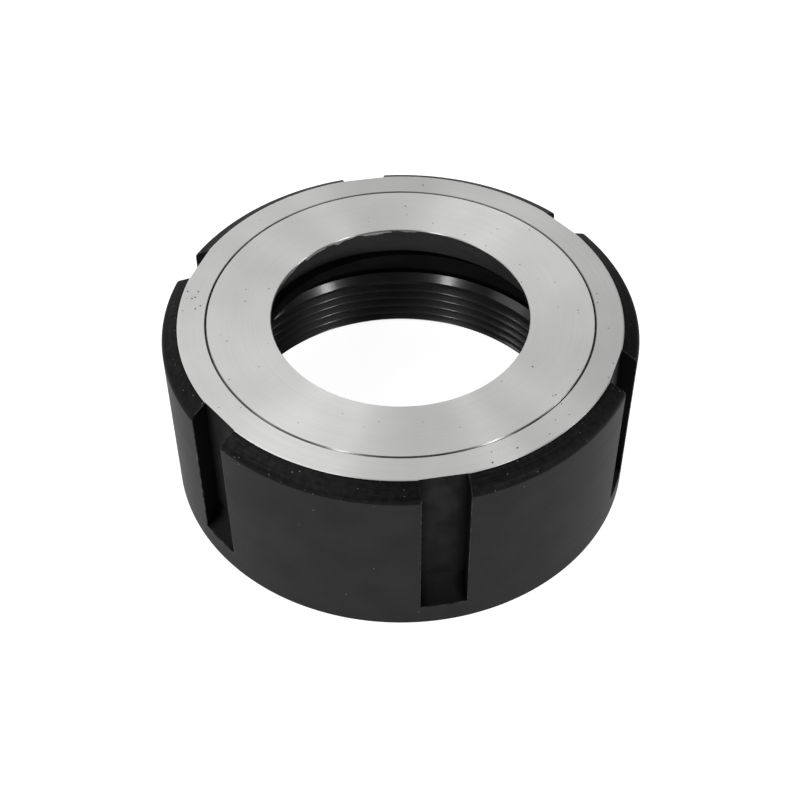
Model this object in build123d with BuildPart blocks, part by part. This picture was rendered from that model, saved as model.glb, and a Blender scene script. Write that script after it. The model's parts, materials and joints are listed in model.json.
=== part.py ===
from build123d import *
from math import asin, cos, degrees, radians, sin, sqrt, tan
import os

# Ball-bearing collet nut for size 40 eight-degree collets, thread M50 x 1.5.
# The nut stands on its threaded end. Z is its axis, and z = 0 is that end's face.
# The slotted body turns on the tool holder, and the inner ring, which the collet
# snaps into, turns freely in it on one row of balls. The collet gives the seat, the
# ring goes round the seat, and the body goes round the ring. All lengths are in
# millimetres, and radial sizes are measured outwards from the one before.

os.makedirs("parts", exist_ok=True)

nut_height = 25.5

# Collet seat in the ring
mouth_radius = 17.05
mouth_edge_break = 0.2
mouth_land = 0.4             # plain bore above the seat
seat_half_angle = 30.0
seat_width = 3.45            # across the cone, along the radius
groove_depth = 1.4           # relief behind the seat, which takes the collet's rim
groove_length = 0.92

# Eccentric lip, which pulls the collet out of the holder
lip_length = 1.5
lip_depth = 1.3              # mean depth below the groove's wall
lip_offset = 1.1
lip_thick_side_angle = 180.0

# Inner ring
ring_height = 11.0
ring_wall = 3.7              # behind the relief groove
ring_rear_wall = 1.7         # at the flared rear opening
ring_rear_edge_break = 0.3
ring_fit = 0.08              # radial running clearance in the body
parting_edge_break = 0.1     # on both sides of the fine line on the front face

# Outside of the nut body
nut_wall = 5.82              # from the ring's bore to the outside
front_chamfer_width = 2.28
front_chamfer_angle = 30.0    # from the front face
front_edge_rounding = 1.1     # where the chamfer meets the outside
rear_edge_break = 0.15

# Thread, drawn plain at its minor radius
thread_step = 1.49           # from the ring's bore in to the thread's minor radius
thread_entry_chamfer = 2.1
thread_length = 7.79
thread_exit_chamfer = 0.91   # below the step that the bore ends on

# Spanner slots, open at the front face
slot_count = 6
slot_width = 6.0
slot_depth = 2.4
slot_end_height = 3.3        # where a slot runs out on the outside
slot_runout_radius = 4.0     # radius of the cutter that ended the slot
first_slot_angle = -80.0

# Balls and their race
ball_diameter = 4.5
ball_spacing_gap = 0.02      # least gap between neighbours
race_depth = 5.5             # below the front face
race_fit = 0.05              # groove radius less ball radius

# Filling hole and its plug
filling_angle = 70.0         # between two slots
filling_hole_clearance = 0.25
plug_fit = 0.02
plug_sink = 0.2              # below the outside of the nut
plug_edge_break = 0.3

# Radii, from the collet outwards
seat_end_radius = mouth_radius + seat_width
groove_radius = seat_end_radius + groove_depth
lip_radius = groove_radius - lip_depth
lip_inner_radius = lip_radius - lip_offset
ring_radius = groove_radius + ring_wall
ring_rear_opening_radius = ring_radius - ring_rear_wall
bore_radius = ring_radius + ring_fit
thread_minor_radius = bore_radius - thread_step
nut_radius = bore_radius + nut_wall
face_radius = nut_radius - front_chamfer_width
slot_floor_radius = nut_radius - slot_depth

# Heights of the ring, from the front face down
land_front = nut_height - mouth_edge_break
seat_front = land_front - mouth_land
seat_end_height = seat_front - seat_width / tan(radians(seat_half_angle))
lip_front_height = seat_end_height - groove_length
lip_rear_height = lip_front_height - lip_length
ring_rear = nut_height - ring_height

# Heights of the body
front_chamfer_base = nut_height - front_chamfer_width * tan(radians(front_chamfer_angle))
thread_top = thread_entry_chamfer + thread_length
bore_floor = thread_top + thread_exit_chamfer

# The slot's cutter leaves the floor in an arc that meets the outside at slot_end_height
runout_centre_radius = slot_floor_radius + slot_runout_radius
runout_rise = sqrt(slot_runout_radius**2 - (slot_runout_radius - slot_depth) ** 2)
slot_floor_end = slot_end_height + runout_rise
cut_margin = 1.0

# A full row of balls, evenly spaced
race_radius = ring_radius + ring_fit / 2
race_height = nut_height - race_depth
race_groove_radius = ball_diameter / 2 + race_fit
ball_pitch = ball_diameter + ball_spacing_gap
ball_count = int(180 / degrees(asin(ball_pitch / 2 / race_radius)))

filling_hole_radius = ball_diameter / 2 + filling_hole_clearance
filling_direction = (cos(radians(filling_angle)), sin(radians(filling_angle)), 0)
plug_radius = filling_hole_radius - plug_fit
plug_end_radius = nut_radius - plug_sink


def filling_plane(radius):
    """Plane across the filling hole's axis, at this distance from the nut's axis."""
    x, y, _ = filling_direction
    return Plane(origin=(x * radius, y * radius, race_height), z_dir=filling_direction)


# What the cutter takes out for one slot, lying along +X
with BuildPart() as slot_cutter:
    with BuildSketch(Plane.XZ):
        with BuildLine():
            runout = CenterArc((runout_centre_radius, slot_floor_end), slot_runout_radius, 180, 90)
            Polyline(
                runout @ 1,
                (runout_centre_radius, nut_height + cut_margin),
                (slot_floor_radius, nut_height + cut_margin),
                runout @ 0,
            )
        make_face()
    extrude(amount=slot_width / 2, both=True)

# Nut body: a turned section, six milled slots, the race and the filling hole
with BuildPart() as nut_body:
    with BuildSketch(Plane.XZ) as body_section:
        with BuildLine():
            Polyline(
                (thread_minor_radius + thread_entry_chamfer, 0),
                (nut_radius - rear_edge_break, 0),
                (nut_radius, rear_edge_break),
                (nut_radius, front_chamfer_base),
                (face_radius, nut_height),
                (bore_radius + parting_edge_break, nut_height),
                (bore_radius, nut_height - parting_edge_break),
                (bore_radius, bore_floor),
                (thread_minor_radius + thread_exit_chamfer, bore_floor),
                (thread_minor_radius, thread_top),
                (thread_minor_radius, thread_entry_chamfer),
                close=True,
            )
        make_face()
        outer_corners = body_section.vertices().group_by(Axis.X)[-1]
        fillet(outer_corners.sort_by(Axis.Y)[-1], front_edge_rounding)
    revolve(axis=Axis.Z)

    with PolarLocations(0, slot_count, first_slot_angle):
        add(slot_cutter.part, mode=Mode.SUBTRACT)

    with BuildSketch(filling_plane(race_radius)):
        Circle(filling_hole_radius)
    extrude(amount=nut_radius - race_radius + cut_margin, mode=Mode.SUBTRACT)

    with Locations((0, 0, race_height)):
        Torus(race_radius, race_groove_radius, mode=Mode.SUBTRACT)

# Inner ring: the collet's seat, the relief groove and the lip, with the race outside
with BuildPart() as pressure_ring:
    with BuildSketch(Plane.XZ):
        with BuildLine():
            Polyline(
                (mouth_radius + mouth_edge_break, nut_height),
                (mouth_radius, land_front),
                (mouth_radius, seat_front),
                (seat_end_radius, seat_end_height),
                (groove_radius, seat_end_height),
                (groove_radius, lip_front_height),
                (lip_inner_radius - cut_margin, lip_front_height),
                (lip_inner_radius - cut_margin, lip_rear_height),
                (groove_radius, lip_rear_height),
                (ring_rear_opening_radius, ring_rear),
                (ring_radius - ring_rear_edge_break, ring_rear),
                (ring_radius, ring_rear + ring_rear_edge_break),
                (ring_radius, nut_height - parting_edge_break),
                (ring_radius - parting_edge_break, nut_height),
                close=True,
            )
        make_face()
    revolve(axis=Axis.Z)

    lip_centre = (
        -lip_offset * cos(radians(lip_thick_side_angle)),
        -lip_offset * sin(radians(lip_thick_side_angle)),
    )
    with BuildSketch(Plane.XY.offset(lip_rear_height)):
        with Locations(lip_centre):
            Circle(lip_radius)
    extrude(amount=lip_length, mode=Mode.SUBTRACT)

    with Locations((0, 0, race_height)):
        Torus(race_radius, race_groove_radius, mode=Mode.SUBTRACT)

# Plug: closes the filling hole, and its inner end carries on the race
with BuildPart() as filler_plug:
    with BuildSketch(filling_plane(race_radius)):
        Circle(plug_radius)
    extrude(amount=plug_end_radius - race_radius)
    chamfer(filler_plug.edges().sort_by(SortBy.DISTANCE)[-1], plug_edge_break)
    with BuildSketch():
        Circle(bore_radius)
    extrude(amount=nut_height, mode=Mode.SUBTRACT)
    with Locations((0, 0, race_height)):
        Torus(race_radius, race_groove_radius, mode=Mode.SUBTRACT)

# Balls
balls = []
for index in range(ball_count):
    angle = radians(filling_angle + index * 360 / ball_count)
    with BuildPart() as ball:
        with Locations((race_radius * cos(angle), race_radius * sin(angle), race_height)):
            Sphere(ball_diameter / 2)
    ball.part.label = f"ball_{index + 1:02d}"
    balls.append(ball.part)

nut_body.part.label = "nut_body"
pressure_ring.part.label = "pressure_ring"
filler_plug.part.label = "filler_plug"

for piece in [nut_body.part, pressure_ring.part, filler_plug.part, *balls]:
    export_step(piece, f"parts/{piece.label}.step")
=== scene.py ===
"""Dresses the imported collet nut: a blackened, slotted steel nut with a ground front face.

The turned body and the inner ring are modelled again at the solids' sizes, with the thread, the
rounded slot edges and the finishes that the solids leave out. The balls and the filler plug keep
their solids. Sizes are in millimetres and become metres only where a mesh is made.
"""
from __future__ import annotations

import json
import logging
import math
from dataclasses import dataclass
from enum import Enum
from typing import Callable, Sequence

import bmesh
import bpy
from mathutils import Matrix, Vector


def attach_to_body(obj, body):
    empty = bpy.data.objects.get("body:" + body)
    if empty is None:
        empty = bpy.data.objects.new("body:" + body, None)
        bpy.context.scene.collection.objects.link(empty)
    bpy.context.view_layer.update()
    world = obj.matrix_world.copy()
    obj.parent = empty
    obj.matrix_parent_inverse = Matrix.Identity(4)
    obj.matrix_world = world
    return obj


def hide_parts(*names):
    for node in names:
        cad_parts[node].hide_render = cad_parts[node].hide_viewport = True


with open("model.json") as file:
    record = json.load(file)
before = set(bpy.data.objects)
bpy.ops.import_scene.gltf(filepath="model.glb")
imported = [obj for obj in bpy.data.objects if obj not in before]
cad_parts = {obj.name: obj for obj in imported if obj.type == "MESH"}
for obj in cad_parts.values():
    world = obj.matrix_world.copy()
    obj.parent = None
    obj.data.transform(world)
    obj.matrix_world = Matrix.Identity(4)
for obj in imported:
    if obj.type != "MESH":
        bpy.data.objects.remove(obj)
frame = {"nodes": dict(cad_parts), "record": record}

log = logging.getLogger("collet_nut")

Piece = bpy.types.Object
Material = bpy.types.Material
Tree = bpy.types.NodeTree
Node = bpy.types.Node
Socket = bpy.types.NodeSocket
Span = tuple[float, float]
Place = tuple[float, float, float]

MM = 0.001
AXIS = (0.0, 0.0, 1.0)
ORIGIN = (0.0, 0.0, 0.0)
FULL_TURN = 2 * math.pi
MERGE = 0.001 * MM
HALF_PIXEL = 0.5 / 800

# How finely round shapes are drawn
TURN_STEPS = 288
DRILL_STEPS = 64
RACE_STEPS = 12
EDGE_STEPS = 8
RUNOUT_SEGMENTS = 24
ROUNDING_SEGMENTS = 3

# The angle in degrees up to which an edge is shaded smooth
SMOOTH_ANGLE = 30.0

# How far a cutter reaches past what it cuts
CUT_MARGIN = 1.0

# The spanner slots: how many, how wide, and the azimuth of one
SLOTS = 6
SLOT_WIDTH = 6.0
FIRST_SLOT = -80.0

# The radius at which the length of a tool's marks is measured
MARK_RADIUS = 25.0

# Nearly all values of a noise texture lie in this range
NOISE_RANGE = (0.3, 0.7)

# The colour sockets of a Mix node
MIX_FACTOR, MIX_FIRST, MIX_SECOND, MIX_COLOUR = 0, 6, 7, 2


# Mesh work

class Element(Enum):
    """A kind of mesh element, by Blender's name for it."""

    VERT = "VERT"
    EDGE = "EDGE"


@dataclass(frozen=True)
class Corner:
    """One corner of a turned section, with the radius that it is rounded to."""

    radius: float
    height: float
    rounding: float = 0.0


def start_afresh() -> None:
    """Leave edit mode with nothing selected."""
    active = bpy.context.view_layer.objects.active
    if active is not None and active.mode != "OBJECT":
        bpy.ops.object.mode_set(mode="OBJECT")
    bpy.ops.object.select_all(action="DESELECT")


def make_active(piece: Piece, mode: str = "OBJECT") -> None:
    """Select one piece alone and make it the active one.

    Args:
        piece: The object.
        mode: The mode to enter.
    """
    start_afresh()
    piece.select_set(True)
    bpy.context.view_layer.objects.active = piece
    bpy.ops.object.mode_set(mode=mode)


def pick(piece: Piece, kind: Element, test: Callable[..., bool]) -> int:
    """Select the elements of a piece in edit mode that pass a test.

    Args:
        piece: The object that is in edit mode.
        kind: The kind of element.
        test: Says whether one bmesh element is wanted.

    Returns:
        How many elements are selected.
    """
    bpy.ops.mesh.select_mode(type=kind.value)
    bpy.ops.mesh.select_all(action="DESELECT")
    mesh = bmesh.from_edit_mesh(piece.data)
    wanted = [element for element in (mesh.verts if kind is Element.VERT else mesh.edges) if test(element)]
    for element in wanted:
        element.select_set(True)
    bmesh.update_edit_mesh(piece.data)
    return len(wanted)


def draw_section(name: str, corners: Sequence[Corner]) -> Piece:
    """Draw a closed section in the XZ plane and round its corners.

    Args:
        name: The new object's name.
        corners: The section's corners in order.

    Returns:
        The object, in edit mode, with one face.
    """
    start_afresh()
    bpy.ops.mesh.primitive_plane_add(size=MM, location=ORIGIN, enter_editmode=True)
    piece = bpy.context.object
    piece.name = piece.data.name = name
    bpy.ops.mesh.select_mode(type="VERT")
    bpy.ops.mesh.select_all(action="SELECT")
    bpy.ops.mesh.merge(type="CENTER")
    first = corners[0]
    bpy.ops.transform.translate(value=(first.radius * MM, 0, first.height * MM))
    for here, there in zip(corners, corners[1:]):
        step = ((there.radius - here.radius) * MM, 0, (there.height - here.height) * MM)
        bpy.ops.mesh.extrude_region_move(TRANSFORM_OT_translate={"value": step})
    bpy.ops.mesh.select_all(action="SELECT")
    bpy.ops.mesh.edge_face_add()
    for corner in corners:
        if corner.rounding:
            place = Vector((corner.radius, 0, corner.height)) * MM
            pick(piece, Element.VERT, lambda vert: (vert.co - place).length < MERGE)
            bpy.ops.mesh.bevel(offset=corner.rounding * MM, segments=ROUNDING_SEGMENTS, affect="VERTICES")
    return piece


def close_shell() -> None:
    """Merge doubles and turn all faces of the piece in edit mode outwards."""
    bpy.ops.mesh.select_mode(type="VERT")
    bpy.ops.mesh.select_all(action="SELECT")
    bpy.ops.mesh.remove_doubles(threshold=MERGE)
    bpy.ops.mesh.normals_make_consistent(inside=False)
    bpy.ops.object.mode_set(mode="OBJECT")


def turn(name: str, corners: Sequence[Corner]) -> Piece:
    """Turn a closed section round the nut's axis, as on a lathe.

    Args:
        name: The new object's name.
        corners: The section's corners in order.

    Returns:
        The turned piece, in object mode.
    """
    piece = draw_section(name, corners)
    bpy.ops.mesh.select_all(action="SELECT")
    bpy.ops.mesh.delete(type="ONLY_FACE")
    bpy.ops.mesh.select_all(action="SELECT")
    bpy.ops.mesh.spin(steps=TURN_STEPS, angle=FULL_TURN, center=ORIGIN, axis=AXIS)
    close_shell()
    return piece


def apply_modifier(piece: Piece, kind: str, **settings: object) -> None:
    """Add a modifier to a piece, set it up and apply it.

    Args:
        piece: The object.
        kind: The modifier's type.
        settings: The modifier's properties.
    """
    make_active(piece)
    modifier = piece.modifiers.new(kind.lower(), kind)
    for key, value in settings.items():
        setattr(modifier, key, value)
    bpy.ops.object.modifier_apply(modifier=modifier.name)


def cut_away(piece: Piece, cutter: Piece) -> None:
    """Take the cutter's shape out of a piece and delete the cutter."""
    apply_modifier(piece, "BOOLEAN", object=cutter, operation="DIFFERENCE", solver="EXACT")
    bpy.data.objects.remove(cutter)


def smooth(piece: Piece) -> None:
    """Shade a piece smooth, led by its larger faces.

    Args:
        piece: The object.
    """
    make_active(piece)
    bpy.ops.object.shade_smooth_by_angle(angle=math.radians(SMOOTH_ANGLE))
    apply_modifier(piece, "WEIGHTED_NORMAL", keep_sharp=True)


def arc(centre: Span, radius: float, start: float, end: float, steps: int) -> list[Corner]:
    """Return an arc in a section, round a centre's radius and height, between two angles in degrees."""
    angles = [math.radians(start + (end - start) * index / steps) for index in range(steps + 1)]
    return [Corner(centre[0] + radius * math.cos(angle), centre[1] + radius * math.sin(angle)) for angle in angles]


# Node work

def feed(node: Node, inputs: dict | Sequence) -> None:
    """Give a node its values and links.

    Args:
        node: The node.
        inputs: Values or other nodes' outputs, by the input's name or number or else in order.
    """
    for key, source in (inputs.items() if isinstance(inputs, dict) else enumerate(inputs)):
        if isinstance(source, Socket):
            node.id_data.links.new(source, node.inputs[key])
        else:
            node.inputs[key].default_value = source


def add_node(tree: Tree, kind: str, inputs: dict | Sequence = (), **settings: object) -> Node:
    """Add a node with its settings, values and links.

    Args:
        tree: The node tree.
        kind: The node's type, without the ShaderNode before it.
        inputs: Values or other nodes' outputs, by the input's name or number or else in order.
        settings: The node's own properties.

    Returns:
        The new node.
    """
    node = tree.nodes.new("ShaderNode" + kind)
    for key, value in settings.items():
        setattr(node, key, value)
    feed(node, inputs)
    return node


def linear(hex_colour: str) -> tuple[float, ...]:
    """Turn an sRGB hex colour to the linear colour that Blender's sockets take."""
    channels = [int(hex_colour[start:start + 2], 16) / 255 for start in (1, 3, 5)]
    return *(c / 12.92 if c <= 0.04045 else ((c + 0.055) / 1.055) ** 2.4 for c in channels), 1.0


@dataclass(frozen=True)
class Specks:
    """Small spots: how far apart their places are, their radius, and the share of places with one."""

    spacing: float
    size: float
    share: float


@dataclass(frozen=True)
class Layer:
    """A linear colour that covers what lies under it as far as its amount says."""

    amount: Socket
    colour: tuple[float, ...]
    blend: str = "MIX"


class RoundTheAxis:
    """Outputs that give a point's place round the nut's axis, in millimetres."""

    def __init__(self, tree: Tree) -> None:
        """Build the nodes from the piece's own Object coordinates.

        Args:
            tree: The material's node tree.
        """
        self.tree = tree
        self.place = self.add("VectorMath", {0: self.add("TexCoord", output="Object"), "Scale": 1 / MM},
                              operation="SCALE")
        parts = add_node(tree, "SeparateXYZ", [self.place]).outputs
        self.height = parts["Z"]
        self.angle = self.add("Math", (parts["Y"], parts["X"]), operation="ARCTAN2")
        flat = self.add("CombineXYZ", (parts["X"], parts["Y"]))
        self.radius = self.add("VectorMath", [flat], "Value", operation="LENGTH")
        self.direction = self.add("VectorMath", [flat], operation="NORMALIZE")

    def add(self, kind: str, inputs: dict | Sequence = (), output: int | str = 0, **settings: object) -> Socket:
        """Add a node of any kind and return one of its outputs."""
        return add_node(self.tree, kind, inputs, **settings).outputs[output]

    def blotches(self, size: float, detail: float = 2.0) -> Socket:
        """Return soft noise of a size in millimetres."""
        return self.add("TexNoise", {"Vector": self.place, "Scale": 1 / size, "Detail": detail}, "Fac")

    def marks(self, round_mm: float, across_mm: float) -> Socket:
        """Return noise drawn out along a tool's path.

        Args:
            round_mm: The marks' size round the axis, in millimetres at MARK_RADIUS.
            across_mm: The marks' size along the axis and along the radius, in millimetres.

        Returns:
            An output from 0 to 1.
        """
        across = self.add("Math", (self.height, self.radius), operation="SUBTRACT")
        lift = self.add("Math", (across, 1 / across_mm), operation="MULTIPLY")
        along = self.add("VectorMath", {0: self.direction, "Scale": MARK_RADIUS / round_mm}, operation="SCALE")
        where = self.add("VectorMath", (along, self.add("CombineXYZ", {"Z": lift})), operation="ADD")
        return self.add("TexNoise", {"Vector": where, "Scale": 1.0, "Detail": 3.0}, "Fac")

    def specks(self, spots: Specks) -> Socket:
        """Return scattered small spots.

        Args:
            spots: Their spacing, size and share.

        Returns:
            An output that is 1 in a spot and 0 outside.
        """
        uneven = self.add("Math", (self.blotches(spots.size, detail=1.0), 0.5), operation="ADD")
        reach = self.add("Math", (uneven, spots.size / spots.spacing), operation="MULTIPLY")
        cells = add_node(self.tree, "TexVoronoi", {"Vector": self.place, "Scale": 1 / spots.spacing}).outputs
        inside = self.add("Math", (cells["Distance"], reach), operation="LESS_THAN")
        chosen = self.add("Math", (self.add("SeparateXYZ", [cells["Color"]], "X"), spots.share), operation="LESS_THAN")
        return self.add("Math", (inside, chosen), operation="MULTIPLY")

    def swing(self, source: Socket, reach: float, middle: float = 0.0) -> Socket:
        """Return a value that swings about a middle with a noise."""
        return self.add("MapRange", (source, *NOISE_RANGE, middle - reach, middle + reach))

    def near(self, spot: Place, reach: float) -> Socket:
        """Return 1 within a reach of a spot, both in millimetres, and 0 beyond."""
        distance = self.add("VectorMath", (self.place, spot), "Value", operation="DISTANCE")
        return self.add("Math", (distance, reach), operation="LESS_THAN")

    def off_slot_middle(self) -> Socket:
        """Measure how far a point lies to the side of the nearest slot's middle.

        Returns:
            The distance in millimetres.
        """
        step = FULL_TURN / SLOTS
        turned = self.add("Math", (self.angle, math.radians(FIRST_SLOT)), operation="SUBTRACT")
        steps = self.add("Math", [self.add("Math", (turned, step), operation="DIVIDE")], operation="ROUND")
        nearest = self.add("Math", (steps, step), operation="MULTIPLY")
        side = self.add("Math", [self.add("Math", (turned, nearest), operation="SUBTRACT")], operation="SINE")
        return self.add("Math", [self.add("Math", (side, self.radius), operation="MULTIPLY")], operation="ABSOLUTE")

    def towards(self, azimuth: float) -> Socket:
        """Return the cosine of the angle between a point's direction and an azimuth in degrees."""
        side = (math.cos(math.radians(azimuth)), math.sin(math.radians(azimuth)), 0.0)
        return self.add("VectorMath", (self.direction, side), "Value", operation="DOT_PRODUCT")

    def paint(self, base: str, layers: Sequence[Layer]) -> Socket | tuple[float, ...]:
        """Lay colours over each other.

        Args:
            base: The lowest colour.
            layers: Those above it, in order.

        Returns:
            The colour that is seen.
        """
        seen = linear(base)
        for layer in layers:
            seen = self.add("Mix", {MIX_FACTOR: layer.amount, MIX_FIRST: seen, MIX_SECOND: layer.colour}, MIX_COLOUR,
                            data_type="RGBA", blend_type=layer.blend)
        return seen


class Process(Enum):
    """How a surface was cut, which says the way its marks run."""

    TURNED = "round the axis"
    MILLED = "along the axis"


# A quarter of a turn sets the wide side of the reflection across marks that run round the axis
LOBE_ACROSS = {Process.TURNED: 0.25, Process.MILLED: 0.0}


def set_lobe(shader: Node, process: Process, anisotropy: float) -> None:
    """Draw the shader's reflection out across the tool's marks."""
    tangent = add_node(shader.id_data, "Tangent", direction_type="RADIAL", axis="Z").outputs[0]
    feed(shader, {"Anisotropic": anisotropy, "Anisotropic Rotation": LOBE_ACROSS[process], "Tangent": tangent})


def new_material(name: str) -> tuple[Material, Node, RoundTheAxis]:
    """Start a material.

    Args:
        name: The material's name.

    Returns:
        The material, its Principled shader, and the outputs that its patterns are built from.
    """
    material = bpy.data.materials.new(name)
    material.use_nodes = True
    tree = material.node_tree
    tree.nodes.clear()
    shader = add_node(tree, "BsdfPrincipled")
    add_node(tree, "OutputMaterial", {"Surface": shader.outputs[0]})
    return material, shader, RoundTheAxis(tree)


# Finishes

@dataclass(frozen=True)
class GroundSteel:
    """Hardened alloy steel, face ground on a rotary table.

    The eye sees a bright, slightly soft metal with fine rings round the axis, which draw each
    lamp out into a fan from the centre, and a few dark pits. A painted shade darkens the side
    towards one azimuth.
    """

    name: str = "ground_hardened_steel"
    colour: str = "#e0e0df"
    dull: str = "#cfcfce"
    pit: str = "#4c4a47"
    roughness: float = 0.40
    roughness_swing: float = 0.02
    anisotropy: float = 0.92
    ring_length: float = 22.0
    # The wheel's lines are some 0.03 mm apart, and this is the finest that shows in the render
    ring_spacing: float = 0.20
    ring_contrast: float = 0.4
    patch_size: float = 6.0
    patch_contrast: float = 0.3
    tone_span: float = 0.8
    pits: tuple[Specks, Specks] = (Specks(2.6, 0.13, 0.5), Specks(0.9, 0.09, 0.12))
    # Painted shade: how much darker the face is made on the side towards one azimuth
    painted_shade: float = 0.0
    painted_shade_side: float = 35.0
    painted_shade_span: Span = (-0.1, 0.7)
    cluster_at: Place | None = None
    cluster_reach: float = 2.4
    cluster: Specks = Specks(0.6, 0.13, 0.9)

    def make(self) -> Material:
        """Build the material.

        Returns:
            The material.
        """
        material, shader, axis = new_material(self.name)
        rings = axis.marks(self.ring_length, self.ring_spacing)
        patches = axis.blotches(self.patch_size)
        tone = axis.add("Math", (axis.swing(rings, self.ring_contrast), axis.swing(patches, self.patch_contrast)),
                        operation="ADD")
        layers = [Layer(axis.add("MapRange", (tone, -self.tone_span, self.tone_span)), linear(self.colour))]
        # Painted shade on the side towards one azimuth
        if self.painted_shade:
            grey = 1 - self.painted_shade
            side = axis.add("MapRange", (axis.towards(self.painted_shade_side), *self.painted_shade_span))
            layers.append(Layer(side, (grey, grey, grey, 1.0), "MULTIPLY"))
        pits = axis.add("Math", [axis.specks(spots) for spots in self.pits], operation="MAXIMUM")
        if self.cluster_at:
            cluster = axis.add("Math", (axis.near(self.cluster_at, self.cluster_reach), axis.specks(self.cluster)),
                               operation="MULTIPLY")
            pits = axis.add("Math", (pits, cluster), operation="MAXIMUM")
        layers.append(Layer(pits, linear(self.pit)))
        feed(shader, {
            "Base Color": axis.paint(self.dull, layers),
            "Roughness": axis.swing(rings, self.roughness_swing, self.roughness),
            "Metallic": 1.0,
        })
        set_lobe(shader, Process.TURNED, self.anisotropy)
        return material


@dataclass(frozen=True)
class BlackOxide:
    """Hot black oxide, oiled, on machined steel.

    The eye sees a deep, neutral black that keeps the tool's marks under it, shines only where a
    lamp is near the mirror angle, and carries a little pale dust. A darker colour below a height is
    painted shade, painted shade darkens a slot's corners beside its walls, and the edge is a ragged
    line above a height, widest on one side: pale bare wear on the seat, a painted shadow line on
    the chamfer.
    """

    name: str
    process: Process = Process.TURNED
    colour: str = "#353535"
    dark: str = "#2d2d2d"
    edge_tint: float = 0.45
    metallic: float = 0.9
    specular: float = 0.2
    roughness: float = 0.5
    roughness_swing: float = 0.02
    anisotropy: float = 0.6
    # A fine turning feed is about 0.1 mm, and marks nearer than 0.18 mm don't show in the render
    mark_spacing: float = 0.3
    mark_length: float = 16.0
    mark_depth: float = 0.08
    mark_relief: float = 0.01
    streaks: float = 0.0
    streak_span: Span = (0.45, 0.65)
    # The colour of the tool's dark streaks, and of the painted shade in a slot's corners
    streak_and_shade: str = "#101010"
    # Dust is finer than this, and is drawn as coarse as it needs to show
    dust: Specks | None = Specks(1.8, 0.07, 0.25)
    dust_colour: str = "#8c8c8a"
    grain: float = 5.0
    grain_span: Span = (0.35, 0.65)
    # Painted shade: a darker colour below a height
    low_shade: str = "#101010"
    low_shade_from: float = 0.0
    low_shade_to: float = 0.0
    # Painted shade in a slot's corners, from this distance off the slot's middle out to its walls
    corner_shade_from: float = 0.0
    # A ragged line above a height: pale bare wear on the seat, a painted shadow line on the chamfer
    edge: str = "#8c8c8a"
    edge_above: float = 0.0
    edge_blur: float = 0.02
    edge_jag: float = 0.65
    edge_jag_least: float = -0.05
    edge_jag_size: float = 1.6
    edge_side: float = 125.0
    edge_side_span: Span = (0.6, 0.9)
    edge_least: float = 0.15
    oil: float = 0.0
    oil_roughness: float = 0.15

    def make(self) -> Material:
        """Build the material.

        Returns:
            The material.
        """
        material, shader, axis = new_material(self.name)
        sizes = (self.mark_length, self.mark_spacing)
        marks = axis.marks(*(sizes if self.process is Process.TURNED else reversed(sizes)))
        bump = add_node(axis.tree, "Bump",
                        {"Strength": self.mark_depth, "Distance": self.mark_relief * MM, "Height": marks})
        feed(shader, {
            "Base Color": self.tone(axis, marks),
            "Roughness": axis.swing(marks, self.roughness_swing, self.roughness),
            "Metallic": self.metallic,
            "Specular IOR Level": self.specular,
            "Specular Tint": (self.edge_tint, self.edge_tint, self.edge_tint, 1.0),
            "Coat Weight": self.oil,
            "Coat Roughness": self.oil_roughness,
            "Normal": bump.outputs[0],
        })
        set_lobe(shader, self.process, self.anisotropy)
        return material

    def tone(self, axis: RoundTheAxis, marks: Socket) -> Socket:
        """Lay the colours over each other, from the oxide and its painted shade up to the dust and the edge line.

        Args:
            axis: The outputs of the material's tree.
            marks: The tool's marks.

        Returns:
            The colour.
        """
        patches = axis.blotches(self.grain, detail=4.0)
        layers = [Layer(axis.add("MapRange", (patches, *self.grain_span)), linear(self.colour))]
        # Painted shade, darker below a height
        if self.low_shade_to:
            below = axis.add("MapRange", (axis.height, self.low_shade_from, self.low_shade_to, 1.0, 0.0))
            layers.append(Layer(below, linear(self.low_shade)))
        # Painted shade in the slot's corners
        if self.corner_shade_from:
            beside = axis.add("MapRange", (axis.off_slot_middle(), self.corner_shade_from, SLOT_WIDTH / 2))
            layers.append(Layer(beside, linear(self.streak_and_shade)))
        if self.streaks:
            streaks = axis.add("MapRange", (marks, *self.streak_span, 0.0, self.streaks))
            layers.append(Layer(streaks, linear(self.streak_and_shade)))
        if self.dust:
            layers.append(Layer(axis.specks(self.dust), linear(self.dust_colour)))
        # The edge line: pale bare wear on the seat, a painted shadow line on the chamfer
        if self.edge_above:
            jag = axis.add("MapRange", (axis.blotches(self.edge_jag_size, detail=3.0), *NOISE_RANGE,
                                        self.edge_jag_least, self.edge_jag))
            # How wide the line is round the axis, for the seat's wear and the chamfer's painted shadow alike
            worn = axis.add("MapRange", (axis.towards(self.edge_side), *self.edge_side_span, self.edge_least, 1.0))
            height = axis.add("Math", (jag, worn, axis.height), operation="MULTIPLY_ADD")
            line = axis.add("MapRange", (height, self.edge_above - self.edge_blur, self.edge_above + self.edge_blur))
            layers.append(Layer(line, linear(self.edge)))
        return axis.paint(self.dark, layers)


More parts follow.
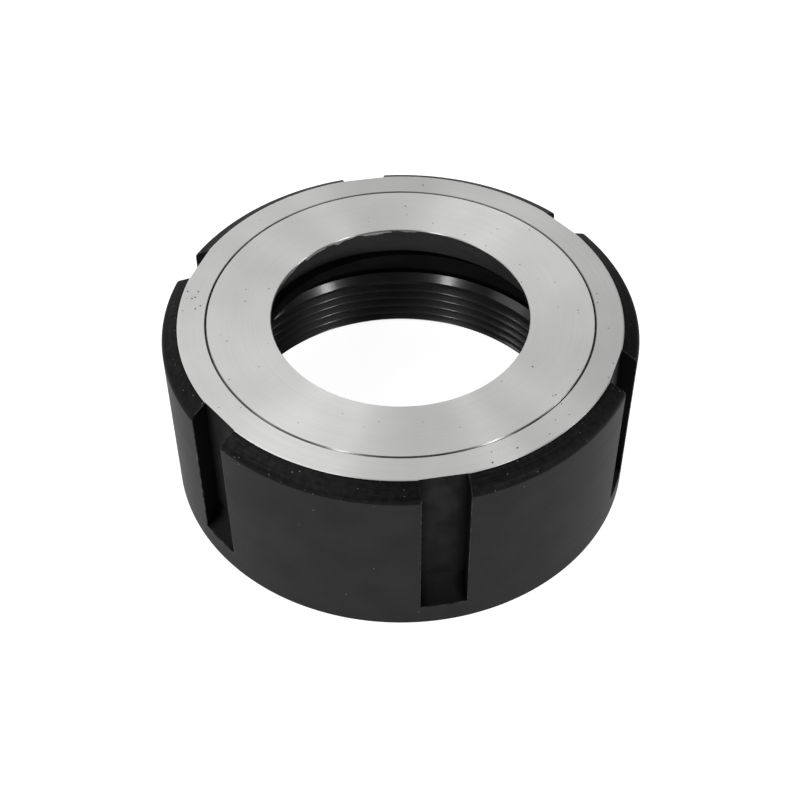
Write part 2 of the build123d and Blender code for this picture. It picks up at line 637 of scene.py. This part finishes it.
@dataclass(frozen=True)
class BlotchedSteel:
    """Steel with soft blotches of a second colour and roughness, and with bright knocks if any."""

    name: str
    colour: str
    blotch: str
    size: float
    detail: float
    span: Span
    roughness: float
    blotch_roughness: float
    roughness_span: Span
    metallic: float = 1.0
    knock: str = "#a8a8a6"
    knocks: Specks | None = None

    def make(self) -> Material:
        """Build the material.

        Returns:
            The material.
        """
        material, shader, axis = new_material(self.name)
        blotches = axis.blotches(self.size, self.detail)
        layers = [Layer(axis.add("MapRange", (blotches, *self.span)), linear(self.blotch))]
        if self.knocks:
            layers.append(Layer(axis.specks(self.knocks), linear(self.knock)))
        feed(shader, {
            "Base Color": axis.paint(self.colour, layers),
            "Roughness": axis.add("MapRange", (blotches, *self.roughness_span, self.roughness, self.blotch_roughness)),
            "Metallic": self.metallic,
        })
        return material


@dataclass(frozen=True)
class WornEdge(BlotchedSteel):
    """Black oxide rubbed through to bare steel along an outer edge.

    The eye sees a thin grey line, broken and brighter at the knocks.
    """

    name: str = "worn_oxide_edge"
    colour: str = "#242424"
    blotch: str = "#4e4e4c"
    size: float = 0.8
    detail: float = 4.0
    span: Span = (0.42, 0.75)
    roughness: float = 0.55
    blotch_roughness: float = 0.4
    roughness_span: Span = (0.4, 0.7)
    metallic: float = 0.9
    knocks: Specks | None = Specks(1.6, 0.16, 0.2)


@dataclass(frozen=True)
class BearingSteel(BlotchedSteel):
    """Through-hardened chromium steel, ground and lapped.

    The eye sees a mirror-bright ball with a faint grey coat of grease.
    """

    name: str = "lapped_bearing_steel"
    colour: str = "#c4c5c6"
    blotch: str = "#8f8f8c"
    size: float = 1.2
    detail: float = 3.0
    span: Span = (0.4, 0.7)
    roughness: float = 0.09
    blotch_roughness: float = 0.24
    roughness_span: Span = (0.4, 0.7)


@dataclass(frozen=True)
class TurnedPin(BlotchedSteel):
    """Free-cutting steel pin, turned and left bare.

    The eye sees a dull grey metal disc, darker than the ground face and smeared with black.
    """

    name: str = "turned_steel_pin"
    colour: str = "#8a8a88"
    blotch: str = "#3a3a39"
    size: float = 1.0
    detail: float = 4.0
    span: Span = (0.45, 0.62)
    roughness: float = 0.38
    blotch_roughness: float = 0.58
    roughness_span: Span = (0.4, 0.65)


@dataclass(frozen=True)
class WhitePaper:
    """Seamless white paper, which keeps the nut's shadow.

    The eye sees plain white. Its glow reaches only the camera and reflections, so that it adds
    no light to the nut.
    """

    name: str = "white_paper"
    colour: str = "#b4b4b4"
    glow: float = 0.94

    def make(self) -> Material:
        """Build the material.

        Returns:
            The material.
        """
        material = bpy.data.materials.new(self.name)
        material.use_nodes = True
        tree = material.node_tree
        tree.nodes.clear()
        paper = add_node(tree, "BsdfDiffuse", {"Color": linear(self.colour)})
        rays = add_node(tree, "LightPath").outputs
        seen = rays["Is Camera Ray"]
        for ray in ("Is Glossy Ray", "Is Transmission Ray"):
            seen = add_node(tree, "Math", {0: seen, 1: rays[ray]}, operation="MAXIMUM").outputs[0]
        strength = add_node(tree, "Math", {0: seen, 1: self.glow}, operation="MULTIPLY")
        glow = add_node(tree, "Emission", {"Strength": strength.outputs[0]})
        both = add_node(tree, "AddShader", {0: paper.outputs[0], 1: glow.outputs[0]})
        add_node(tree, "OutputMaterial", {"Surface": both.outputs[0]})
        return material


def dress(piece: Piece, finishes: Sequence[tuple[Material, Callable[[Vector, Vector], bool]]],
          marked: Material | None = None) -> None:
    """Give each face of a piece the first finish whose test it passes.

    Args:
        piece: The object.
        finishes: Materials with tests of a face's centre in millimetres and its normal.
        marked: The finish of the faces that already hold the second material slot.
    """
    kept = [polygon.material_index == 1 for polygon in piece.data.polygons]
    piece.data.materials.clear()
    for material, _ in finishes:
        piece.data.materials.append(material)
    if marked is not None:
        piece.data.materials.append(marked)
    for polygon, is_marked in zip(piece.data.polygons, kept):
        centre = polygon.center / MM
        if marked is not None and is_marked:
            polygon.material_index = len(finishes)
        else:
            polygon.material_index = next(i for i, (_, test) in enumerate(finishes) if test(centre, polygon.normal))


# The nut

@dataclass
class Finishes:
    """All finishes of the nut, made once and shared."""

    ground: Material
    rim: Material
    parting: Material
    turned: Material
    chamfer: Material
    milled: Material
    runout: Material
    bored: Material
    threaded: Material
    crest: Material
    undercut: Material
    seat: Material
    worn: Material
    ball: Material
    pin: Material

    @classmethod
    def make(cls) -> Finishes:
        """Return the set of finishes."""
        return cls(
            ground=GroundSteel().make(),
            # The body's face, with painted shade on one side
            rim=GroundSteel("ground_rim", painted_shade=0.17, cluster_at=(-28.2, 2.5, 25.5)).make(),
            parting=BlackOxide("worn_parting_edge", colour="#8c8c8a", dark="#7a7a78", anisotropy=0.3, dust=None).make(),
            turned=BlackOxide(
                "black_oxide_turned", colour="#333333", dark="#2e2e2e", edge_tint=0.75, mark_depth=0.04).make(),
            # Painted shade: darker towards the chamfer's foot, and a painted shadow line along its top edge
            chamfer=BlackOxide(
                "black_oxide_chamfer", colour="#282828", dark="#1e1e1e", edge_tint=0.6, roughness=0.5, anisotropy=0.3,
                mark_depth=0.5, mark_spacing=0.18, streaks=0.5, dust=Specks(0.9, 0.09, 0.7), dust_colour="#6c6c6a",
                grain=0.7, low_shade="#1b1b1b", low_shade_from=23.6, low_shade_to=24.0, edge="#060606", edge_above=25.38,
                edge_jag=0.05).make(),
            # Painted shade: darker towards the bottom and beside the slot's walls
            milled=BlackOxide(
                "black_oxide_milled", Process.MILLED, colour="#2b2b2b", dark="#1c1c1c", edge_tint=0.75, roughness=0.58,
                mark_depth=0.2, grain=2.5, low_shade="#161616", low_shade_from=0.0, low_shade_to=20.0, corner_shade_from=1.6).make(),
            # Painted shade beside the slot's walls
            runout=BlackOxide(
                "black_oxide_runout", colour="#2c2c2c", dark="#222222", edge_tint=0.6, roughness=0.65, anisotropy=0.7,
                corner_shade_from=1.6).make(),
            bored=BlackOxide("black_oxide_bored", roughness=0.36, anisotropy=0.7, dust=None, oil=1.0).make(),
            threaded=BlackOxide(
                "black_oxide_threaded", colour="#434343", dark="#3b3b3b", roughness=0.45, anisotropy=0.8, dust=None,
                oil=0.5).make(),
            # A darker copy of the oxide: painted shade on the thread's crests
            crest=BlackOxide(
                "black_oxide_crest", colour="#262626", dark="#202020", edge_tint=0.2, roughness=0.5, dust=None).make(),
            # A darker copy of the oxide: painted shade in the hollows of the bore and the ring
            undercut=BlackOxide(
                "black_oxide_undercut", colour="#242424", dark="#1c1c1c", edge_tint=0.1, roughness=0.6,
                dust=None).make(),
            seat=BlackOxide("black_oxide_seat", roughness=0.32, anisotropy=0.7, dust=None, edge_above=25.4).make(),
            worn=WornEdge().make(),
            ball=BearingSteel().make(),
            pin=TurnedPin().make(),
        )


@dataclass(frozen=True)
class BallRace:
    """The groove that the balls run in, half of it in the body and half in the ring."""

    height: float = 20.0
    centre: float = 25.64
    radius: float = 2.3

    def groove(self, wall: float, side: float) -> list[Corner]:
        """Return the half in a wall of this radius, on the side that an angle in degrees points to."""
        reach = math.degrees(math.acos(abs(wall - self.centre) / self.radius))
        return arc((self.centre, self.height), self.radius, side + reach, side - reach, RACE_STEPS)


@dataclass
class NutBody:
    """The slotted outer body with its thread, bore and ball race."""

    finishes: Finishes
    height: float = 25.5
    radius: float = 31.5
    face_radius: float = 29.22
    chamfer_angle: float = 30.0
    chamfer_rounding: float = 1.1
    rear_break: float = 0.15
    rear_rounding: float = 0.06
    bore: float = 25.68
    parting_break: float = 0.1
    race: BallRace = BallRace()
    thread_minor: float = 24.19
    thread_major: float = 25.0
    thread_entry: float = 2.1
    thread_top: float = 9.89
    thread_exit: float = 0.91
    thread_turns: int = 7
    thread_start: float = -0.725
    pitch: float = 1.5
    flank_angle: float = 30.0
    crest_angle: float = 50.0
    crest_break: float = 0.15
    cutter_overlap: float = 0.05
    slot_floor: float = 29.1
    slot_end: float = 3.3
    slot_runout: float = 4.0
    edge_rounding: float = 0.12
    face_rounding: float = 0.12
    filling_angle: float = 70.0
    filling_radius: float = 2.5

    # What sorts edges and faces: angles in degrees, distances in millimetres, and tilts as the
    # upright part of a normal
    worn_from_angle: float = 25.0
    worn_from_height: float = 1.0
    face_reach: float = 0.02
    step_reach: float = 0.01
    floor_reach: float = 0.5
    slot_reach: float = 0.3
    parting_reach: float = 0.3
    inside_reach: float = 2.5
    crest_reach: float = 0.03
    outer_skin: float = 0.05
    flat_tilt: float = 0.99
    face_tilt: float = 0.86
    crest_tilt: float = 0.2
    wall_tilt: float = 0.05
    floor_tilt: float = 0.01
    runout_tilt: float = 0.02
    facing_out: float = 0.9

    def section(self) -> list[Corner]:
        """Draw the turned section, from the thread's lower chamfer round the outside.

        Returns:
            Its corners in order.
        """
        edge = arc((self.radius - self.chamfer_rounding, self.chamfer_foot()), self.chamfer_rounding,
                   0, 90 - self.chamfer_angle, EDGE_STEPS)
        return [
            Corner(self.thread_minor + self.thread_entry, 0),
            Corner(self.radius - self.rear_break, 0),
            Corner(self.radius, self.rear_break, self.rear_rounding),
            *edge,
            Corner(self.face_radius, self.height, self.face_rounding),
            Corner(self.bore + self.parting_break, self.height),
            Corner(self.bore, self.height - self.parting_break),
            *self.race.groove(self.bore, 0.0),
            Corner(self.bore, self.bore_floor),
            Corner(self.thread_minor + self.thread_exit, self.bore_floor),
            Corner(self.thread_minor, self.thread_top),
            Corner(self.thread_minor, self.thread_entry),
        ]

    @property
    def bore_floor(self) -> float:
        """Return the height of the step that the bore ends on."""
        return self.thread_top + self.thread_exit

    def chamfer_foot(self) -> float:
        """Return the height at which the rounded front chamfer meets the outside."""
        slope = math.radians(self.chamfer_angle)
        return (self.height - (self.radius - self.face_radius) * math.tan(slope)
                - self.chamfer_rounding * math.tan((math.pi / 2 - slope) / 2))

    def slot_cutters(self) -> Piece:
        """Model one block for each slot, rounded where the cutter runs out.

        Returns:
            The blocks as one piece.
        """
        rise = math.sqrt(self.slot_runout**2 - (self.slot_runout - self.radius + self.slot_floor) ** 2)
        low = self.slot_end + rise - self.slot_runout
        depth, tall = 2 * self.slot_runout, self.height + 2 * CUT_MARGIN - low
        start_afresh()
        bpy.ops.mesh.primitive_cube_add(size=1, location=ORIGIN, enter_editmode=True)
        piece = bpy.context.object
        bpy.ops.transform.resize(value=(depth * MM, SLOT_WIDTH * MM, tall * MM))
        bpy.ops.transform.translate(value=((self.slot_floor + depth / 2) * MM, 0, (low + tall / 2) * MM))
        inner, bottom = self.slot_floor * MM, low * MM
        pick(piece, Element.EDGE, lambda edge: all(
            abs(vert.co.x - inner) < MERGE and abs(vert.co.z - bottom) < MERGE for vert in edge.verts))
        bpy.ops.mesh.bevel(offset=self.slot_runout * MM, segments=RUNOUT_SEGMENTS)
        bpy.ops.mesh.select_all(action="SELECT")
        bpy.ops.transform.rotate(value=-math.radians(FIRST_SLOT), orient_axis="Z", center_override=ORIGIN)
        bpy.ops.mesh.spin(steps=SLOTS, angle=FULL_TURN, dupli=True, center=ORIGIN, axis=AXIS)
        close_shell()
        return piece

    def is_worn_edge(self, edge: bmesh.types.BMEdge) -> bool:
        """Say whether an edge lies on the outside, where handling has rounded it.

        Args:
            edge: The edge.

        Returns:
            False too for edges of the ground face and for the slot floors' front ends.
        """
        faces = edge.link_faces
        if len(faces) != 2 or not edge.is_convex or edge.calc_face_angle(0) < math.radians(self.worn_from_angle):
            return False
        middle = (edge.verts[0].co + edge.verts[1].co) / 2 / MM
        if math.hypot(middle.x, middle.y) < self.face_radius + self.face_reach or middle.z < self.worn_from_height:
            return False
        if any(face.normal.z > self.flat_tilt for face in faces):
            return False
        outwards = middle.to_2d().normalized()
        on_floor = any(abs(face.normal.z) < self.floor_tilt
                       and face.calc_center_median().to_2d().length / MM < self.slot_floor + self.floor_reach
                       and abs(face.normal.to_2d().dot(outwards)) > self.facing_out for face in faces)
        return not (on_floor and middle.z > self.height - self.floor_reach)

    def thread_cutter(self) -> Piece:
        """Model the thread's groove as a right-handed spiral through the bore.

        Returns:
            The spiral, closed at both ends.
        """
        # The flat at the groove's root is an eighth of the pitch wide
        root = self.pitch / 8 / 2
        inner = self.thread_minor - self.cutter_overlap
        crest = self.thread_minor + self.crest_break
        narrow = root + (self.thread_major - crest) * math.tan(math.radians(self.flank_angle))
        wide = narrow + (crest - inner) * math.tan(math.radians(self.crest_angle))
        start = self.thread_start
        piece = draw_section("thread_cutter", [
            Corner(inner, start - wide), Corner(crest, start - narrow), Corner(self.thread_major, start - root),
            Corner(self.thread_major, start + root), Corner(crest, start + narrow), Corner(inner, start + wide)])
        apply_modifier(piece, "SCREW", axis="Z", angle=FULL_TURN, screw_offset=self.pitch * MM,
                       iterations=self.thread_turns, steps=TURN_STEPS, render_steps=TURN_STEPS)
        bpy.ops.object.mode_set(mode="EDIT")
        between = self.height / 4 * MM
        for is_end in (lambda vert: vert.co.z < between, lambda vert: vert.co.z > between):
            pick(piece, Element.EDGE, lambda edge: edge.is_boundary and all(is_end(vert) for vert in edge.verts))
            bpy.ops.mesh.edge_face_add()
        bpy.ops.mesh.select_all(action="SELECT")
        # Turned by a third of a step, so that its corners don't fall on the bore's
        bpy.ops.transform.rotate(value=FULL_TURN / TURN_STEPS / 3, orient_axis="Z", center_override=ORIGIN)
        close_shell()
        return piece

    def filling_drill(self) -> Piece:
        """Model the drill of the hole that the balls go in by.

        Returns:
            The drill, in place.
        """
        start_afresh()
        inner, outer = self.race.centre, self.radius + CUT_MARGIN
        bpy.ops.mesh.primitive_cylinder_add(vertices=DRILL_STEPS, radius=self.filling_radius * MM,
                                            depth=(outer - inner) * MM)
        piece = bpy.context.object
        piece.data.transform(
            Matrix.Rotation(math.radians(self.filling_angle), 4, "Z")
            @ Matrix.Translation(Vector(((inner + outer) / 2, 0, self.race.height)) * MM)
            @ Matrix.Rotation(math.pi / 2, 4, "Y"))
        return piece

    def build(self) -> Piece:
        """Model the body and dress it.

        Returns:
            The finished piece.
        """
        piece = turn("nut_body_turned", self.section())
        cut_away(piece, self.thread_cutter())
        cut_away(piece, self.slot_cutters())
        make_active(piece, "EDIT")
        log.info("rounding %d outer edges", pick(piece, Element.EDGE, self.is_worn_edge))
        bpy.ops.mesh.bevel(offset=self.edge_rounding * MM, segments=ROUNDING_SEGMENTS, clamp_overlap=False)
        look = self.finishes
        for finish in (look.turned, look.worn):
            piece.data.materials.append(finish)
        bpy.ops.mesh.select_mode(type="FACE")
        piece.active_material_index = 1
        bpy.ops.object.material_slot_assign()
        close_shell()
        cut_away(piece, self.filling_drill())
        bpy.ops.object.mode_set(mode="EDIT")
        close_shell()
        smooth(piece)
        dress(piece, [
            (look.rim, self.on_face),
            (look.parting, lambda at, normal: at.z > self.height - self.face_rounding
             and at.to_2d().length < self.bore + self.parting_reach),
            (look.crest, self.on_crest),
            (look.threaded, lambda at, normal: at.z < self.thread_top and at.to_2d().length < self.thread_major),
            (look.bored, lambda at, normal: at.z < self.bore_floor + self.step_reach and at.to_2d().length < self.bore),
            (look.undercut, lambda at, normal: at.to_2d().length < self.bore + self.inside_reach),
            (look.runout, lambda at, normal: self.in_slot(at, normal) and normal.z > self.runout_tilt),
            (look.milled, self.in_slot),
            (look.chamfer, lambda at, normal: at.z > self.chamfer_foot()),
            (look.turned, lambda at, normal: True),
        ], marked=look.worn)
        return piece

    def on_face(self, at: Vector, normal: Vector) -> bool:
        """Say whether a face belongs to the ground front, with its bright outer edge."""
        return at.z > self.height - self.face_rounding and normal.z > self.face_tilt

    def on_crest(self, at: Vector, normal: Vector) -> bool:
        """Say whether a face is the flat that the bore leaves on the thread's crest."""
        return (self.thread_entry < at.z < self.thread_top and abs(normal.z) < self.crest_tilt
                and at.to_2d().length < self.thread_minor + self.crest_reach)

    def in_slot(self, at: Vector, normal: Vector) -> bool:
        """Say whether a face is a slot's floor or wall."""
        inside = self.slot_floor - self.slot_reach < at.to_2d().length < self.radius - self.outer_skin
        return inside and self.slot_end < at.z < self.height and (
            abs(normal.z) < self.wall_tilt or at.z < self.slot_end + self.slot_runout)


@dataclass
class PressureRing:
    """The inner ring with the collet's seat, the relief groove and the eccentric lip."""

    finishes: Finishes
    top: float = 25.5
    height: float = 11.0
    radius: float = 25.6
    parting_break: float = 0.15
    rear_break: float = 0.3
    mouth: float = 17.05
    mouth_break: float = 0.1
    mouth_land: float = 0.5
    corner_rounding: float = 0.05
    seat_end: float = 20.5
    seat_end_height: float = 18.924
    groove: float = 21.9
    groove_length: float = 0.92
    lip_length: float = 1.5
    lip_radius: float = 20.6
    lip_offset: float = 1.1
    lip_thick_side: float = 180.0
    rear_opening: float = 23.9
    race: BallRace = BallRace()

    # What sorts points and faces, as in the body
    near: float = 0.01
    lip_below: float = 0.5
    seat_reach: float = 0.05
    face_skin: float = 0.06
    face_tilt: float = 0.9
    mouth_reach: float = 0.03

    def section(self) -> list[Corner]:
        """Draw the turned section, from the mouth down the inside and up the outside.

        Returns:
            Its corners in order.
        """
        lip_front = self.seat_end_height - self.groove_length
        lip_rear = lip_front - self.lip_length
        rear = self.top - self.height
        return [
            Corner(self.mouth + self.mouth_break, self.top),
            Corner(self.mouth, self.top - self.mouth_break, self.corner_rounding),
            Corner(self.mouth, self.top - self.mouth_break - self.mouth_land),
            Corner(self.seat_end, self.seat_end_height, self.corner_rounding),
            Corner(self.groove, self.seat_end_height),
            Corner(self.groove, lip_front),
            Corner(self.lip_radius, lip_front),
            Corner(self.lip_radius, lip_rear),
            Corner(self.groove, lip_rear),
            Corner(self.rear_opening, rear),
            Corner(self.radius - self.rear_break, rear),
            Corner(self.radius, rear + self.rear_break),
            *self.race.groove(self.radius, 180.0),
            Corner(self.radius, self.top - self.parting_break),
            Corner(self.radius - self.parting_break, self.top),
        ]

    def build(self) -> Piece:
        """Model the ring, push its lip off centre and dress it.

        Returns:
            The finished piece.
        """
        piece = turn("pressure_ring_turned", self.section())
        make_active(piece, "EDIT")
        pick(piece, Element.VERT, lambda vert: abs(vert.co.to_2d().length / MM - self.lip_radius) < self.near
             and vert.co.z / MM < self.seat_end_height - self.lip_below)
        away = math.radians(self.lip_thick_side + 180)
        bpy.ops.transform.translate(
            value=(self.lip_offset * MM * math.cos(away), self.lip_offset * MM * math.sin(away), 0))
        close_shell()
        smooth(piece)
        look = self.finishes
        dress(piece, [
            (look.ground, self.on_face),
            (look.seat, lambda at, normal: at.z > self.seat_end_height + self.seat_reach),
            (look.undercut, lambda at, normal: True),
        ])
        return piece

    def on_face(self, at: Vector, normal: Vector) -> bool:
        """Say whether a face belongs to the ground front or to the mouth's broken edge."""
        in_front = at.z > self.top - self.face_skin and normal.z > self.face_tilt
        return in_front if at.to_2d().length > self.mouth + self.mouth_break else (
            at.z > self.top - self.mouth_break - self.mouth_reach)


# The studio

@dataclass(frozen=True)
class Softbox:
    """A soft lamp, given by its direction from the nut, with a radiance on the room's own scale."""

    name: str
    towards: Place
    width: float
    tall: float
    radiance: float
    distance: float = 600.0

    def place(self) -> None:
        """Set the lamp up, aimed at the nut."""
        data = bpy.data.lights.new(self.name, "AREA")
        data.shape = "RECTANGLE"
        data.size, data.size_y = self.width * MM, self.tall * MM
        data.energy = self.radiance * math.pi * data.size * data.size_y
        lamp = bpy.data.objects.new(self.name, data)
        towards = Vector(self.towards).normalized()
        lamp.location = towards * self.distance * MM
        lamp.rotation_euler = towards.to_track_quat("Z", "Y").to_euler()
        bpy.context.collection.objects.link(lamp)


@dataclass
class Studio:
    """The floor, the surroundings, the lamps and the camera."""

    floor_size: float = 20000.0
    floor_gap: float = 0.02
    room: float = 0.12
    panel: float = 1.1
    panel_towards: Place = (-0.4, 0.6, 0.69)
    panel_from: float = 0.42
    panel_full: float = 0.85
    lamps: tuple[Softbox, ...] = (
        Softbox("bank_left", (-0.5, -0.024, 0.866), 50, 260, 6.5),
        Softbox("strip_left", (-0.826, -0.22, 0.517), 160, 300, 0.9),
        Softbox("strip_right", (0.902, -0.008, 0.428), 45, 300, 10.0),
        Softbox("box_front_left", (-0.405, -0.625, 0.666), 50, 170, 19.0),
        Softbox("box_front_right", (0.607, -0.495, 0.621), 50, 170, 22.0),
    )
    sensor: float = 36.0
    lens: float = 67.33
    clip_start: float = 0.01
    camera_at: Place = (-0.03, -145.53, 158.77)
    camera_down: float = 45.84
    camera_roll: float = -0.14

    def build(self) -> None:
        """Set everything up, with colours shown as they are written."""
        bpy.context.scene.view_settings.view_transform = "Standard"
        self.lay_floor()
        self.light_surroundings()
        for lamp in self.lamps:
            lamp.place()
        self.place_camera()

    def lay_floor(self) -> None:
        """Lay the white floor, just under the nut."""
        start_afresh()
        bpy.ops.mesh.primitive_plane_add(size=self.floor_size * MM, location=(0, 0, -self.floor_gap * MM))
        floor = bpy.context.object
        floor.name = "floor"
        floor.data.materials.append(WhitePaper().make())

    def light_surroundings(self) -> None:
        """Make the room light above and behind the nut, and dark towards the viewer's side."""
        world = bpy.data.worlds.new("studio")
        world.use_nodes = True
        bpy.context.scene.world = world
        tree = world.node_tree
        tree.nodes.clear()
        where = add_node(tree, "TexCoord").outputs["Generated"]
        towards = add_node(tree, "VectorMath", {0: where, 1: Vector(self.panel_towards)}, operation="DOT_PRODUCT")
        level = add_node(tree, "MapRange",
                         {"Value": towards.outputs["Value"], "From Min": self.panel_from, "From Max": self.panel_full,
                          "To Min": self.room, "To Max": self.room + self.panel}, interpolation_type="SMOOTHSTEP")
        back = add_node(tree, "Background", {"Strength": level.outputs["Result"]})
        add_node(tree, "OutputWorld", {"Surface": back.outputs[0]})

    def place_camera(self) -> None:
        """Place the camera where the photograph's one was."""
        data = bpy.data.cameras.new("camera")
        data.sensor_width = self.sensor
        data.lens = self.lens
        data.clip_start = self.clip_start
        data.shift_x, data.shift_y = -HALF_PIXEL, HALF_PIXEL
        camera = bpy.data.objects.new("camera", data)
        pitch = Matrix.Rotation(math.radians(90 - self.camera_down), 4, "X")
        roll = Matrix.Rotation(math.radians(self.camera_roll), 4, "Z")
        camera.matrix_world = Matrix.Translation(Vector(self.camera_at) * MM) @ pitch @ roll
        bpy.context.collection.objects.link(camera)
        bpy.context.scene.camera = camera


def count_open_edges(piece: Piece) -> int:
    """Count the edges of a piece that don't join exactly two faces.

    Args:
        piece: The object.

    Returns:
        How many there are.
    """
    mesh = bmesh.new()
    mesh.from_mesh(piece.data)
    count = sum(len(edge.link_faces) != 2 for edge in mesh.edges)
    mesh.free()
    return count


def attach(piece: Piece, body: str, node: str) -> None:
    """Let a piece stand for a solid and move with its body.

    Args:
        piece: The object.
        body: The body that it rides on.
        node: The solid's name, which is also its material slot's.
    """
    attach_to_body(piece, body)
    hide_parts(node)
    log.info("%s stands for %s, %d faces, %d open edges", piece.name, node, len(piece.data.polygons),
             count_open_edges(piece))


def dress_solid(node: str, finish: Material) -> None:
    """Give a solid that is shown as it is its finish."""
    frame["nodes"][node].data.materials.clear()
    frame["nodes"][node].data.materials.append(finish)


def main() -> None:
    """Build and dress every piece, then the studio round it."""
    logging.basicConfig(level=logging.INFO, format="%(name)s: %(message)s")
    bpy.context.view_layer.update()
    finishes = Finishes.make()
    attach(NutBody(finishes).build(), "nut", "nut_body")
    attach(PressureRing(finishes).build(), "ring", "pressure_ring")
    dress_solid("filler_plug", finishes.pin)
    for name in frame["record"]["behaviour"]["bodies"]["ball_row"]:
        dress_solid(name, finishes.ball)
    Studio().build()


if __name__ == "__main__":
    main()
